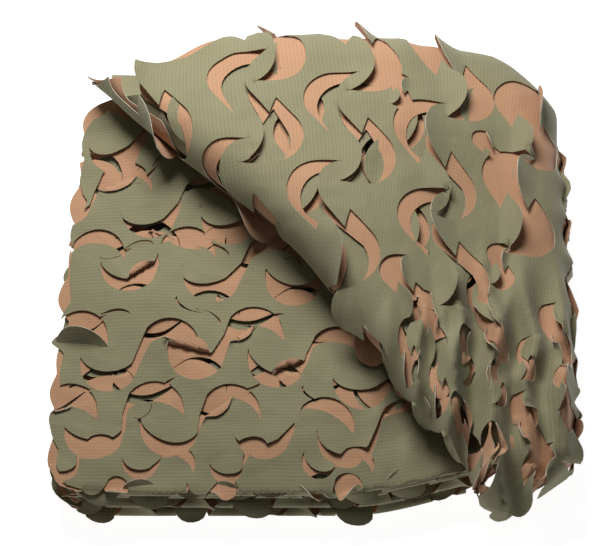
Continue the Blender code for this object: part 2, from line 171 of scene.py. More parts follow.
def units(rows):
    """Vectors made one long."""
    return rows / np.maximum(np.linalg.norm(rows, axis=1, keepdims=True), NO_LENGTH)


# Wrinkles: sizes in units of RIPPLE_UNIT, three directions each
RIPPLE_UNIT, RIPPLE_GAIN = 0.034, 1.6
RIPPLE_SIZES = (0.9, 1.2, 1.6, 2.1, 2.7, 3.5)
RANDOM = np.random.default_rng(11)


def random_ripple(size):
    """Strength, direction, rate and start of one wrinkle."""
    strength = RANDOM.uniform(0.6, 1.0) * size**0.5
    way = RANDOM.uniform(0, 2 * math.pi)
    return strength, way, 2 * math.pi / (size * RIPPLE_UNIT), RANDOM.uniform(0, 2 * math.pi)


RIPPLES = [random_ripple(size) for size in RIPPLE_SIZES for _ in range(3)]


def ripples(x, y):
    """Uneven wrinkles, about -1 to 1."""
    total = sum(strength * np.sin(rate * (x * math.cos(way) + y * math.sin(way)) + start)
                for strength, way, rate, start in RIPPLES)
    return total / len(RIPPLES) * RIPPLE_GAIN


# ---- The plain stack ----

def layer_height(layer):
    """The middle of a layer's cloth in the plain stack."""
    if layer <= PAD_LAYERS:
        return TOP_OF_PAD - PAD_DEPTHS[layer - 1] / 1000
    return TOP_OF_PAD + TURNED_RISES[layer - PAD_LAYERS - 1] / 1000


def near_end(layer):
    """Where a layer's near fold stands. The two layers of one fold share it."""
    if layer > FLAP_UNDER:
        return INNER_NEAR
    if layer > PAD_LAYERS:
        return OUTER_NEAR
    fold = (layer + 1) // 2
    return NEAR + FOLD_SET_IN + EDGE_STEP * (0.5 + 0.5 * wave(fold, 1.0))


def far_end(layer):
    """Where a layer's far fold stands."""
    if layer >= PAD_LAYERS:
        return FAR - FOLD_SET_IN + (FAR_OUT_INNER if layer > FLAP_TOP else FAR_OUT)
    fold = layer // 2
    return FAR - FOLD_SET_IN - EDGE_STEP * (0.5 + 0.5 * wave(fold, 2.0))


# A row of the cloth's length is a layer's straight run or the half-turn after it. It starts at v along the
# cloth and at y in the stack, and goes away from the near side where sign is 1.
Row = namedtuple("Row", "turn layer v length y sign radius")


def lay_runs():
    """The rows of the cloth's length, in their order."""
    rows = []
    v = 0.0
    for layer in range(1, LAYERS + 1):
        away = layer % 2 == 0
        start, end = (near_end(layer), far_end(layer)) if away else (far_end(layer), near_end(layer))
        sign = 1 if away else -1
        # A straight run has no bend: its radius is only there to be divided by
        rows.append(Row(False, layer, v, abs(end - start), start, sign, 1.0))
        v += abs(end - start)
        if layer < LAYERS:
            radius = (layer_height(layer + 1) - layer_height(layer)) / 2
            rows.append(Row(True, layer, v, math.pi * radius, end, sign, radius))
            v += math.pi * radius
    return rows


ROWS = lay_runs()
RUN = {row.layer: row for row in ROWS if not row.turn}
ROW_TURNS, _, ROW_V, _, ROW_Y, ROW_SIGN, ROW_RADIUS = (np.array(values) for values in zip(*ROWS))
ROW_HEIGHT = np.array([layer_height(row.layer) for row in ROWS])
PAD_END = RUN[PAD_LAYERS].v + RUN[PAD_LAYERS].length


def row_at(v):
    """Which of ROWS a place along the cloth is in."""
    return np.clip(np.searchsorted(ROW_V, v, side="right") - 1, 0, len(ROWS) - 1)


def stack_points(v, lift):
    """y and z in the plain stack. Lift is measured from the middle of the cloth to its green side."""
    row = row_at(v)
    along = v - ROW_V[row]
    sign, radius, height = ROW_SIGN[row], ROW_RADIUS[row], ROW_HEIGHT[row]
    angle = along / radius
    reach = radius - sign * lift
    y = ROW_Y[row] + sign * np.where(ROW_TURNS[row], reach * np.sin(angle), along)
    z = height + np.where(ROW_TURNS[row], radius - reach * np.cos(angle), sign * lift)
    return y, z


def axis_shift(along):
    """How far the bent roll axis stands toward the near left of the diagonal through the middle."""
    part = np.clip(np.abs(along) / AXIS_SPAN, 0.0, 1.0)
    lean = AXIS_LEAN * np.clip(along, -AXIS_SPAN, AXIS_SPAN)
    return AXIS_NEAR + lean + AXIS_BOW * (1 - np.cos(math.pi * part)) / 2


def turn_over(x, y, z):
    """Rolls what lies past the roll's axis up and over, onto the rest."""
    along = (x - y) / ROOT2
    shift = axis_shift(along)
    past = -(x + y) / ROOT2 - shift
    radius = AXIS_HEIGHT - z
    bent = past < math.pi * ROLL_OUTER
    angle = past / ROLL_OUTER
    across = np.where(bent, radius * np.sin(angle), math.pi * ROLL_OUTER - past) + shift
    height = AXIS_HEIGHT - np.where(bent, radius * np.cos(angle), -radius)
    still = past <= 0
    return (np.where(still, x, (along - across) / ROOT2), np.where(still, y, (-along - across) / ROOT2),
            np.where(still, z, height))


def turn_back(x, y):
    """From the landed flap's plane to the unturned layer, or the other way."""
    along = (x - y) / ROOT2
    across = 2 * axis_shift(along) + math.pi * ROLL_OUTER + (x + y) / ROOT2
    return (along - across) / ROOT2, (-along - across) / ROOT2


def past_axis(x, y):
    """How far a point of an unturned layer lies past the roll's axis."""
    return -(x + y) / ROOT2 - axis_shift((x - y) / ROOT2)


def press(x, y, z):
    """Presses the roll flat toward the pad's edges."""
    flat_ends = np.maximum(FLAT_NEAR * smooth(-y, FLAT_FROM, -NEAR), FLAT_FAR * smooth(y, 0.0, FAR))
    flatness = np.maximum(smooth(x, 0.0, RIGHT), flat_ends)
    low = TOP_UNTURNED + CAD_THICK
    high = AXIS_HEIGHT + ROLL_CORE - CAD_THICK
    part = np.clip((z - low) / (high - low), 0.0, 1.0)
    return z - part * (high - low - FLAT_GAP) * flatness


def drape(x, y, z):
    """Bends what passes the footprint's edge over it and straight down, with pleats."""
    x = np.where(y < NEAR, x - LEAN * (NEAR - y), x)
    middle = ((LEFT + RIGHT) / 2, (NEAR + FAR) / 2)
    half = ((RIGHT - LEFT) / 2 - CORNER, (FAR - NEAR) / 2 - CORNER)
    core_x = np.clip(x, middle[0] - half[0], middle[0] + half[0])
    core_y = np.clip(y, middle[1] - half[1], middle[1] + half[1])
    out = np.hypot(x - core_x, y - core_y)
    beyond = out - CORNER
    safe = np.maximum(out, TINY)
    way_x, way_y = (x - core_x) / safe, (y - core_y) / safe
    radius = z - DRAPE_HEIGHT
    angle = np.minimum(beyond / DRAPE_BEND, math.pi / 2)
    reach = CORNER + radius * np.sin(angle)
    height = DRAPE_HEIGHT + radius * np.cos(angle) - np.maximum(0.0, beyond - DRAPE_BEND * math.pi / 2)
    corner_turn = np.where(way_x > 0, np.arctan2(way_y, np.maximum(way_x, TINY)), 0.0)
    around = core_x + core_y + CORNER * corner_turn
    hang = smooth(beyond, PLEAT_FROM, PLEAT_FULL)
    sway = PLEAT_SWAY * np.sin(around * PLEAT_SWAY_RATE)
    reach = reach + PLEAT * hang * ridges(math.pi * around / PLEAT_LENGTH + sway)
    still = beyond <= 0
    return (np.where(still, x, core_x + way_x * reach), np.where(still, y, core_y + way_y * reach),
            np.where(still, z, height))


# Two sets of sharp folds in the gathers: their height and spacing, and how far the whole is lowered
FIRST_HIGH, FIRST_SPACING = 0.0200, 0.0345
SECOND_HIGH, SECOND_SPACING = 0.0150, 0.0531
GATHER_LOWERED = 0.009


def gathers(x, y):
    """Upright folds where the flap is drawn together, mostly at its near right."""
    drawn = smooth(x - 0.55 * y, 0.090, 0.170) * smooth(-y, -0.04, 0.10)
    bend = 0.005 * np.sin(y * 31 + 0.7) + 0.003 * np.sin(y * 67 + x * 20)
    first = ridges(math.pi * (x + bend) / FIRST_SPACING + 0.3)
    second = ridges(math.pi * (x - bend - 0.12 * y) / SECOND_SPACING + 1.1)
    return drawn * (FIRST_HIGH * first + SECOND_HIGH * second - GATHER_LOWERED)


def sag(x, y, z):
    """The finished heights: thin at the near side and the edges, full at the far side and along the roll."""
    slope = smooth(y, NEAR - SLOPE_MARGIN_NEAR, FAR + SLOPE_MARGIN_FAR)
    rise = SLOPE_NEAR + (SLOPE_FAR - SLOPE_NEAR) * slope
    rise = rise * (1 - EDGE_DROP * (1 - smooth(inside_by(x, y), EDGE_OUTSIDE, EDGE_REACH)))
    tilt = 1 - FAR_TILT * x / RIGHT * smooth(y, 0.0, FAR)
    rise = rise * (1 + SWELL * wave(x * SWELL_ACROSS, y * SWELL_ALONG)) * tilt
    puff = PUFF_ROLL + (PUFF_FAR - PUFF_ROLL) * smooth(x + y, PUFF_ROLL_END, PUFF_FAR_START)
    puff = puff + (PUFF_RIGHT - puff) * smooth(x, PUFF_RIGHT_START, RIGHT)
    low = np.minimum(z, TOP_OF_PAD)
    wrinkles = WRINKLE_SWELL * ripples(x * WRINKLE_STRETCH, y * WRINKLE_STRETCH)
    swell = wrinkles * smooth(z, WRINKLES_FROM, TOP_OF_PAD)
    swell = swell + gathers(x, y) * smooth(z, TOP_OF_PAD - 0.002, TOP_OF_PAD + 0.006)
    drawn = NEAR_RIGHT_DRAWN * smooth(x, DRAWN_FROM_RIGHT, RIGHT) * smooth(-y, DRAWN_FROM_NEAR, -NEAR)
    return x, y + drawn, low * rise + (z - low) * puff + swell


def cloth_points(x, v, lift):
    """Where flat points lie in the finished pad, in the CAD part's frame."""
    y, z = stack_points(v, lift)
    over = turn_over(x, y, z)
    over = (over[0], over[1], press(*over))
    over = drape(*over)
    turned = v > PAD_END
    placed = sag(*(np.where(turned, a, b) for a, b in zip(over, (x, y, z))))
    return np.stack(placed, axis=-1) + np.array(SETTLE)


def run_y(layer, v):
    """y of a place along the cloth, as if the layer's run went on past its folds."""
    return RUN[layer].y + RUN[layer].sign * (v - RUN[layer].v)


def plan_of(layer, x, v):
    """Plan coordinates of flat points."""
    y = run_y(layer, v)
    return (x, y) if layer <= PAD_LAYERS else turn_back(x, y)


def flat_of(layer, x, y):
    """The flat point of a layer's plan coordinates."""
    if layer > PAD_LAYERS:
        x, y = turn_back(x, y)
    return x, RUN[layer].v + RUN[layer].sign * (y - RUN[layer].y)


# ---- The cloth's outline ----

def corner_inset(y, near_radius, far_radius):
    """How far in a side edge stands where the pad's corners are rounded."""
    near = np.clip(near_radius - (y - NEAR - FOLD_SET_IN), 0.0, near_radius)
    far = np.clip(far_radius - (FAR - FOLD_SET_IN - y), 0.0, far_radius)
    return near_radius - np.sqrt(near_radius**2 - near**2) + far_radius - np.sqrt(far_radius**2 - far**2)


def left_edge(layer, y):
    """x of the cloth's left edge in a layer."""
    if layer <= PAD_LAYERS:
        leaf = 1 - abs(math.sin(y * 63 + 1.7 * layer))
        uneven = EDGE_UNEVEN * (1 + wave(layer, 3.0)) + EDGE_WAVE * (1 + wave(y * 40, layer))
        uneven += LEFT_SLANT * smooth(y, -0.12, 0.20) + LEAF_EDGE * leaf
        return LEFT + uneven + corner_inset(y, NEAR_LEFT_CORNER, FAR_LEFT_CORNER)
    ease = smooth(-y, -0.13, 0.00)
    unturned = LEFT + ROLL_END_SET_IN + (TURNED_FAR_CORNER - ROLL_END_SET_IN) * smooth(y, 0.10, FAR)
    edge = unturned + (TURNED_LEFT - unturned) * ease + TURNED_EDGE_WAVE * wave(y * 30, layer)
    set_in = INNER_SET_IN if layer > FLAP_UNDER else 0.0
    return edge + max(0.0, near_end(layer) + CORNER_CUT - y) + set_in


def right_edge(layer, y):
    """x of the cloth's right edge in a layer."""
    if layer <= PAD_LAYERS:
        uneven = EDGE_UNEVEN * (1 + wave(layer, 4.0)) + EDGE_WAVE * (1 + wave(y * 37, layer))
        return RIGHT - uneven - corner_inset(y, CORNER, CORNER)
    edge = TURNED_RIGHT - TURNED_EDGE_WAVE * (1 + wave(y * 33, layer))
    edge = edge - corner_inset(max(y, 0.0), 0.0, CORNER)
    edge -= UNDER_FLAP * smooth(y, 0.0, 0.08)
    edge += NEAR_HANG * smooth(-y, 0.20, 0.28) - max(0.0, near_end(layer) + HEM_CORNER_CUT - y)
    notch = 1 - abs(math.sin(math.pi * y / HEM_LEAF + 1.3 * layer))
    edge -= HEM_NOTCH * smooth(-y, 0.02, 0.08) * notch
    edge -= HEM_UNDER_SHORT if layer == FLAP_UNDER else 0.0
    return edge - (INNER_SHORT * smooth(-y, 0.02, 0.20) if layer > FLAP_UNDER else 0.0)


# Spacing of points along the side edges, and rows of points round a half-turn
EDGE_STATION = 0.005
LOOP_ROWS = 6


def edge_stations(first, last):
    """v, left x and right x along the cloth's two side edges, from one layer to another."""
    stations = []
    for row in ROWS:
        if not first <= row.layer <= last or (row.turn and row.layer == last):
            continue
        steps = LOOP_ROWS if row.turn else round(row.length / EDGE_STATION)
        for step in range(steps + (row.layer == last)):
            along = row.length * step / steps
            layer = row.layer + (row.turn and step >= steps / 2)
            y = row.y if row.turn else row.y + row.sign * along
            stations.append((row.v + along, left_edge(layer, y), right_edge(layer, y)))
    return np.array(stations)


# ---- Leaf cuts ----

# x and y are the middle of the S in plan coordinates, and gap is how far its banks have moved apart. An S of
# size 1 is 117.5 mm long.
# Each of the two tongues has a crease at its root and a curl, in degrees up, a shrink and a sideways slide.
# Its tip may be folded back over it: fold is where, in mm from the root, and skew the fold line's turn in
# degrees. stiff is the share of a tongue that stands straight off the cloth and doesn't follow it.
Tongue = namedtuple("Tongue", "crease curl shrink slide fold skew", defaults=(1.0, 0.0, 0, 0))
Cut = namedtuple("Cut", "layer x y turn size gap stiff tongues narrow", defaults=(1.0,))


def s_path(barbed, step):
    """The S about its middle, long way up, as points and how far along it they are."""
    turns = max(3, round((S_BEND - S_START) * S_RADIUS / step))
    angle = S_START + (S_BEND - S_START) * np.arange(turns + 1) / turns
    half = [(S_OFFSET + S_RADIUS * math.cos(a), S_RISE + S_RADIUS * math.sin(a)) for a in angle]
    last = half[-1]
    if barbed:
        half.append((S_BARB[0] * 0.5 + last[0] * 0.5, S_BARB[1] * 0.5 + last[1] * 0.5))
        half.append(S_BARB)
    else:
        half.append((last[0] * 0.5, last[1] * 0.5))
    path = np.array(half + [(0.0, 0.0)] + [(-x, -y) for x, y in reversed(half)])
    along = np.concatenate(([0.0], np.cumsum(np.linalg.norm(np.diff(path, axis=0), axis=1))))
    return path, along


def to_plan(cut, x, y):
    """Plan coordinates of points about a cut's middle."""
    turn = math.radians(cut.turn)
    return (cut.x + x * math.cos(turn) - y * math.sin(turn), cut.y + x * math.sin(turn) + y * math.cos(turn))


def to_local(cut, x, y):
    """Points of the plan about a cut's middle."""
    turn = math.radians(cut.turn)
    x, y = x - cut.x, y - cut.y
    return (x * math.cos(turn) + y * math.sin(turn), -x * math.sin(turn) + y * math.cos(turn))


def is_barbed(cut):
    """Whether a cut's middle keeps its barb, which an S that is part open loses."""
    return cut.gap == 0 or cut.gap >= BARB_GAP * cut.size * cut.narrow


def cut_path(cut, step):
    """The S of one cut at its own size, how far along it the points are, and its barb."""
    path, along = s_path(is_barbed(cut), step / cut.size)
    scale = np.array((cut.size * cut.narrow, cut.size))
    barb = np.array(S_BARB) * scale if is_barbed(cut) else np.zeros(2)
    return path * scale, along * cut.size, barb


def gap_outline(cut, step):
    """The opened cut as a closed line of flat points."""
    path, along, _ = cut_path(cut, step)
    heading = units(np.gradient(path, axis=0))
    side = np.stack((heading[:, 1], -heading[:, 0]), axis=-1)
    inward = np.minimum(along, along[-1] - along)
    opened = np.clip((inward / cut.size - OPEN_FROM) / OPEN_RAMP, 0.0, 1.0)[:, None]
    slit = np.clip(inward / SLIT_TAPER, 0.0, 1.0)[:, None] * side * SLIT / 2
    apart = opened * np.array((cut.gap / 2, 0.0))
    one, two = path - apart + slit, path + apart - slit
    outline = np.concatenate((one, two[-2:0:-1]))
    return np.stack(flat_of(cut.layer, *to_plan(cut, outline[:, 0], outline[:, 1])), axis=-1)


# The even repeats of the cuts, in plan
Repeat = namedtuple("Repeat", "origin along across size turn")
PAD_CUT = Repeat((-0.159, -0.081), (0.0775, 0.0), (-0.0175, -0.0735), 0.93, 90.0)
FLAP_CUT = Repeat((0.034, 0.124), (0.000, -0.101), (0.0940, -0.0250), 1.08, 0.0)
# How much one cut of a repeat differs from the next in turn and size
TURN_UNEVEN, SIZE_UNEVEN = 5, 0.04


def uneven_tongues(values, lively, shrink, slide):
    """The two tongues of a cut. lively is their mean crease and curl; shrink is a mean and its unevenness."""
    crease, curl = lively
    return tuple(Tongue(crease * (1 + 0.9 * values[k]), curl * (1 + 1.6 * values[k + 1]),
                        shrink[0] + shrink[1] * values[k + 2], slide * values[k + 3]) for k in (0, 4))


def lattice_cuts(layer, shift, reach, stiff, lively, shrink, slide, uneven_place=0.004):
    """Shut cuts on the even repeat of one layer, each a little different."""
    repeat = PAD_CUT if layer <= PAD_LAYERS else FLAP_CUT
    cuts = []
    for i in range(-reach, reach + 1):
        for j in range(-reach, reach + 1):
            x, y = (repeat.origin[axis] + (i + shift[0]) * repeat.along[axis]
                    + (j + shift[1]) * repeat.across[axis] for axis in (0, 1))
            uneven = [float(wave(i * 2.1 + k * 1.9, j * 1.3 + k, layer * 0.7)) for k in range(10)]
            turn, size = repeat.turn + TURN_UNEVEN * uneven[2], repeat.size * (1 + SIZE_UNEVEN * uneven[3])
            cuts.append(Cut(layer, x + uneven_place * uneven[8], y + uneven_place * uneven[9], turn, size,
                            0.0, stiff, uneven_tongues(uneven, lively, shrink, slide)))
    return cuts


# The cuts that show on the flap: middle in mm, turn in degrees, size, gap in mm, then the upper and the
# lower tongue. The layer under the flap's top one has a cut by each large one.
FlapCut = namedtuple("FlapCut", "x y turn size gap upper lower")
LARGE_CUT = 0.8
FLAP_CUTS = [FlapCut(*row[:5], Tongue(*row[5]), Tongue(*row[6])) for row in (
    (-149, 152, 4, 1.06, 24.64, (12, 26), (14, 26)),
    (-48, 147, 0, 1.13, 33.6, (3, 8, 0.94, 0), (4, 8, 0.90, 0)),
    (42, 126, 0, 1.10, 29.12, (4, 10, 0.94, 0.05), (3, 8, 0.92, 0)),
    (143, 205, 2, 1.06, 24.64, (14, 26), (16, 34, 1, 0.1)),
    (56, 228, -4, 1.06, 24.64, (26, 20), (8, 20)),
    (-44, 240, 6, 1.06, 26.88, (20, 20), (10, 26)),
    (-66, 46, -3, 1.06, 23.52, (10, 14), (22, 30, 1, 0.1)),
    (26, 22, 3, 1.08, 25.76, (5, 10, 0.95, 0), (10, 24, 0.95, 0)),
    (123, 98, -2, 1.06, 24.64, (10, 26, 0.95, 0.1), (8, 10)),
    (128, 4, 4, 1.04, 25.76, (12, 26, 1, 0.1), (16, 44, 0.9, -0.1)),
    (214, 152, -6, 0.84, 20.16, (34, 60, 1, 0.1), (30, 50, 1, 0.1)),
    (200, 62, -8, 0.92, 22.4, (24, 40, 1, -0.1), (26, 36, 1, 0.1)),
    (176, 116, 14, 0.34, 10.08, (40, 50, 1, 0.2), (30, 40)),
    (182, -6, -16, 0.40, 11.2, (30, 50, 1, 0.2), (44, 40)),
    (92, 168, -18, 0.34, 10.08, (16, 30, 1, 0.2), (24, 30)),
    (-124, 226, 12, 0.60, 16.8, (58, 30), (20, 30)),
    (217, -231, 8, 0.50, 10.08, (40, 60, 1, 0.2), (30, 50, 1, -0.2)),
    (240, -190, -8, 0.50, 10.08, (30, 50, 1, 0.2), (40, 50)),
    (92, -42, 6, 0.56, 15.68, (22, 40), (26, 50, 1, 0.2)),
    (34, -86, 5, 0.86, 21.28, (24, 30), (30, 50, 1, 0.2)),
)]


# The cuts that show on the plain near left part: middle in mm, turn, size, then the left and the right
# tongue. The pad lies flatter than the table says, by FLATTER, and its tongues shrink less.
FLATTER, LEAST_SHRINK, SHRINK_PART = 0.3, 0.35, 0.62
PAD_GAP, PAD_GAP_UNEVEN = 0.0114, 0.40
PadCut = namedtuple("PadCut", "x y turn size left right")
PAD_CUTS = [PadCut(*row[:4], Tongue(*row[4]), Tongue(*row[5])) for row in (
    (-226, 158, 104, 0.90, (30, 40, 0.8, 0.2), (30, 60, 0.7, 0.1, 18, 20)),
    (-158, 148, 96, 0.92, (3, 6, 0.8, -0.3), (20, 30, 0.6, 0.3)),
    (-186, 196, 84, 0.78, (3, 6, 0.4, -0.3), (8, 16, 0.4, 0.2, 14, 12)),
    (-204, 90, 98, 0.95, (3, 6, 0.7, 0.2), (4, 10, 0.7, 0.1, 16, 20)),
    (-122, 74, 96, 0.93, (3, 6, 0.8, -0.3), (3, 8, 0.8, 0.3)),
    (-44, 68, 92, 0.95, (2, 4, 0.70, -0.3), (3, 4, 0.8, 0)),
    (-226, 18, 102, 0.92, (4, 8, 0.8, 0.1), (2, 4, 0.72, 0.25)),
    (-140, 20, 104, 0.93, (2, 3, 0.82, 0.2, 17, 32), (2, 4, 0.74, 0.45)),
    (-60, 10, 96, 0.95, (2, 3, 0.74, -0.35), (3, 6, 0.88, 0)),
    (17, 6, 94, 0.93, (3, 6, 0.75, 0.2), (3, 6, 0.8, 0.2)),
    (-238, -68, 100, 0.92, (4, 8, 0.8, 0.1), (3, 6, 0.80, 0.50)),
    (-154, -78, 98, 0.95, (3, 9, 0.72, 0.1), (2, 4, 0.76, 0.0, 22, -18)),
    (-74, -66, 102, 0.93, (2, 3, 0.80, -0.2, 11, -24), (2, 3, 0.80, 0.3, 16, 30)),
    (2, -80, 94, 0.94, (2, 3, 0.80, 0.25, 18, 26), (3, 7, 0.66, 0.2)),
    (82, -104, 86, 0.95, (3, 4, 0.62, -0.3), (3, 6, 0.8, 0)),
    (-246, -140, 98, 0.94, (4, 10, 0.8, 0), (4, 6, 0.60, 0.3, 20, 10)),
    (-166, -142, 104, 0.95, (4, 12, 0.80, 0.3), (2, 4, 0.70, 0.3)),
    (-96, -142, 100, 0.94, (4, 9, 0.85, 0.3), (2, 4, 0.80, 0.2, 17, 34)),
    (-10, -150, 94, 0.93, (3, 8, 0.80, -0.3), (2, 6, 0.70, 0.5)),
    (66, -156, 98, 0.93, (4, 10, 0.85, 0), (5, 12, 0.7, 0.2)),
    (-206, -180, 108, 0.48, (6, 14, 0.85, 0.2), (6, 16, 0.78, 0.4)),
    (-133, -182, 84, 0.56, (6, 16, 0.80, -0.2), (5, 12, 0.72, 0.4)),
    (-56, -182, 104, 0.52, (5, 14, 0.70, 0.3), (6, 16, 0.85, -0.3)),
    (30, -184, 80, 0.56, (6, 18, 0.80, 0.2), (6, 14, 0.80, 0.4)),
)]


# The drawn-together part's cuts: first column and row, spacing, size and how narrow they are
DRAWN_X, DRAWN_Y, DRAWN_COLUMN, DRAWN_ROW = 0.090, -0.258, 0.0275, 0.074
DRAWN_SIZE, DRAWN_NARROW = 0.58, 0.42
# They keep off the hem and its corner, and from the right side on they reach further up
DRAWN_RIGHT, DRAWN_LOWEST, DRAWN_DIAGONAL = 0.275, -0.236, 0.43
DRAWN_SIDE, DRAWN_SIDE_TOP, DRAWN_SIDE_TOP_SHOWN = 0.250, 0.19, 0.17


def in_drawn_part(layer, x, y):
    """Whether a narrow cut belongs here. On the top layer the cuts of the table leave it less room."""
    highest = 0.62 * (x - 0.055) - 0.075
    if layer == FLAP_TOP:
        highest = min(highest, -0.045 if x > 0.115 else -0.095)
    if x > DRAWN_SIDE:
        highest = DRAWN_SIDE_TOP_SHOWN if layer == FLAP_TOP else DRAWN_SIDE_TOP
    return DRAWN_LOWEST <= y <= highest and x <= DRAWN_RIGHT and x - y <= DRAWN_DIAGONAL


def drawn_cuts(layer, shift, gap):
    """The narrow, upright cuts of the flap's near right, where the cloth is drawn together."""
    cuts = []
    for column in range(-1, 9):
        for row in range(-1, 8):
            x = DRAWN_X + DRAWN_COLUMN * (column + shift[0])
            y = DRAWN_Y + DRAWN_ROW * (row + shift[1]) + DRAWN_ROW / 2 * (column % 2)
            uneven = [float(wave(column * 1.7 + k * 2.3, row * 1.1 + k, layer * 0.9)) for k in range(10)]
            if not in_drawn_part(layer, x, y):
                continue
            tongues = tuple(Tongue(34 + 24 * uneven[k], 50 + 50 * uneven[k + 1], 1.0, 0.35 * uneven[k + 2])
                            for k in (0, 4))
            cuts.append(Cut(layer, x + 0.003 * uneven[8], y + 0.006 * uneven[9], 7 * uneven[2],
                            DRAWN_SIZE + 0.06 * uneven[3], gap * (1 + 0.3 * uneven[4]), 1.0, tongues,
                            DRAWN_NARROW))
    return cuts


# Cuts of the pad's inner layers keep this far from the near folds, and are livelier this near an edge
FREE_OF_FOLD, LIVELY_EDGE = 0.052, 0.030
QUIET = 0.1


def inner_cuts():
    """Shut cuts of the pad's layers under the two that show. The lowest lie still on the floor."""
    cuts = []
    for layer in range(1, PAD_LAYERS - 1):
        shift = (0.37 * layer % 1.0, 0.61 * layer % 1.0)
        for cut in lattice_cuts(layer, shift, 7, 0.35, (12, 20), (0.84, 0.14), 0.3):
            if cut.y < NEAR + FREE_OF_FOLD:
                continue
            much = QUIET if inside_by(cut.x, cut.y) > LIVELY_EDGE or layer < 3 else 1.0
            sides = [side._replace(crease=side.crease * much, curl=side.curl * much) for side in cut.tongues]
            cuts.append(cut._replace(tongues=tuple(sides), stiff=0.1 if layer < 3 else 0.35))
    return cuts


def pad_top_cuts():
    """The cuts of the two layers that show on the pad: below shut, on top small slits and the table's."""
    below = lattice_cuts(PAD_LAYERS - 1, (0.45, 0.35), 7, 0.2, (1, 2), (0.80, 0.15), 0.2)
    cuts = [cut for cut in below if cut.y > -0.165]
    for cut in lattice_cuts(PAD_LAYERS, (0.52, 0.42), 4, 0.3, (2, 3), (0.80, 0.10), 0.5, 0.012):
        if cut.y > -0.16 and cut.x > LEFT + 0.02:
            cuts.append(cut._replace(size=0.42, narrow=0.45, turn=40 + 900 * cut.x % 110))
    for row in PAD_CUTS:
        flat = [Tongue(side.crease * FLATTER, side.curl * FLATTER, LEAST_SHRINK + side.shrink * SHRINK_PART,
                       side.slide, side.fold, side.skew) for side in (row.left, row.right)]
        gap = PAD_GAP * row.size * (1 + PAD_GAP_UNEVEN * float(wave(row.x / 23, row.y / 31)))
        cuts.append(Cut(PAD_LAYERS, row.x / 1000, row.y / 1000, row.turn, row.size, gap, 0.3, tuple(flat)))
    return cuts


# The under layer's cuts: how far they stand off the top one's, their turn, size and gap beside them
UNDER_ASIDE, UNDER_DOWN, UNDER_TURN, UNDER_SIZE, UNDER_GAP = 0.001, -0.009, -12, 0.95, 5 / 7
# Only where the top layer covers their ends
UNDER_BELOW, UNDER_LEFT_OF = 0.15, 0.19
STILL = Tongue(2, 4, 0.95)
HANGING = Tongue(-30, -40)


def flap_cuts():
    """The cuts of the four turned layers."""
    cuts = [Cut(FLAP_TOP, row.x / 1000, row.y / 1000, row.turn, row.size, row.gap / 1000, 0.6,
                (row.upper, row.lower)) for row in FLAP_CUTS]
    cuts += drawn_cuts(FLAP_TOP, (0.0, 0.0), 0.0080)
    for row in FLAP_CUTS:
        x, y = row.x / 1000 + UNDER_ASIDE, row.y / 1000 + UNDER_DOWN
        if row.size > LARGE_CUT and y < UNDER_BELOW and x < UNDER_LEFT_OF:
            cuts.append(Cut(FLAP_UNDER, x, y, row.turn + UNDER_TURN, row.size * UNDER_SIZE,
                            row.gap / 1000 * UNDER_GAP, 0.2, (STILL, STILL)))
    cuts += [cut for cut in drawn_cuts(FLAP_UNDER, (0.5, 0.4), 0.014) if cut.x < 0.17 and cut.y > -0.16]
    cuts += [cut._replace(tongues=(HANGING, HANGING)) for cut in drawn_cuts(FLAP_UNDER, (0.1, 0.0), 0.018)
             if cut.x < 0.18 and cut.y < -0.16]
    for place in range(9):
        lean = float(wave(place, 5.0))
        tongues = (Tongue(50 + 30 * lean, 40), Tongue(30, 30, slide=0.2))
        x, y = -0.150 + 0.042 * place + 0.006 * lean, 0.279 + 0.004 * lean
        cuts.append(Cut(FLAP_TOP, x, y, 20 * lean, 0.42, 0.007, 1.0, tongues, 0.8))
    cuts += lattice_cuts(LAYERS - 1, (0.5, 0.55), 7, 0.2, (2, 4), (0.74, 0.16), 0.2)
    cuts += lattice_cuts(LAYERS, (0.6, 0.1), 7, 0.2, (2, 4), (0.80, 0.15), 0.2)
    return cuts


# Leaves along the near folds, and on the top layer's: spacing, size and how far right they go
FrontLeaves = namedtuple("FrontLeaves", "apart size until")
LEAVES = FrontLeaves(0.078, 0.55, RIGHT - 0.04)
TOP_LEAVES = FrontLeaves(0.104, 0.40, 0.10)


def front_leaves():
    """Cuts on the near folds, whose outer tongues stand out of the fold and bend down."""
    cuts = []
    for layer in range(2, PAD_LAYERS + 1, 2):
        row = TOP_LEAVES if layer == PAD_LAYERS else LEAVES
        for place in range(6):
            uneven = [float(wave(place * 2.3 + k, layer * 1.9 + k * 0.7)) for k in range(6)]
            x = LEFT + 0.034 + row.apart * place + 0.017 * layer % 0.050 + 0.004 * uneven[0]
            if x > row.until:
                continue
            outer = Tongue(-12 + 20 * uneven[1], -20 + 30 * uneven[2], 1.0, 0.3 * uneven[3])
            cuts.append(Cut(layer, x, near_end(layer) + 0.002 * uneven[4], 90 + 14 * uneven[5],
                            row.size + 0.07 * uneven[3], 0.006, 0.9, (outer, Tongue(0, 0))))
    return cuts


CUTS = inner_cuts() + pad_top_cuts() + flap_cuts() + front_leaves()


# ---- From the flat cloth to a mesh ----

def in_polygon(x, y, polygon):
    """Which points lie in a closed line: those from which a ray crosses it an odd number of times."""
    odd = np.zeros(len(x), dtype=bool)
    x2, y2 = polygon[-1]
    for x1, y1 in polygon:
        if y1 != y2:
            crosses = (y1 > y) != (y2 > y)
            odd ^= crosses & (x < (x2 - x1) * (y - y1) / (y2 - y1) + x1)
        x2, y2 = x1, y1
    return odd


def in_cut(cut_line, points):
    """Which of the points lie in a closed line, tested only near it."""
    low, high = cut_line.min(axis=0), cut_line.max(axis=0)
    near = np.flatnonzero(np.all((points > low) & (points < high), axis=1))
    return near[in_polygon(points[near, 0], points[near, 1], cut_line)]


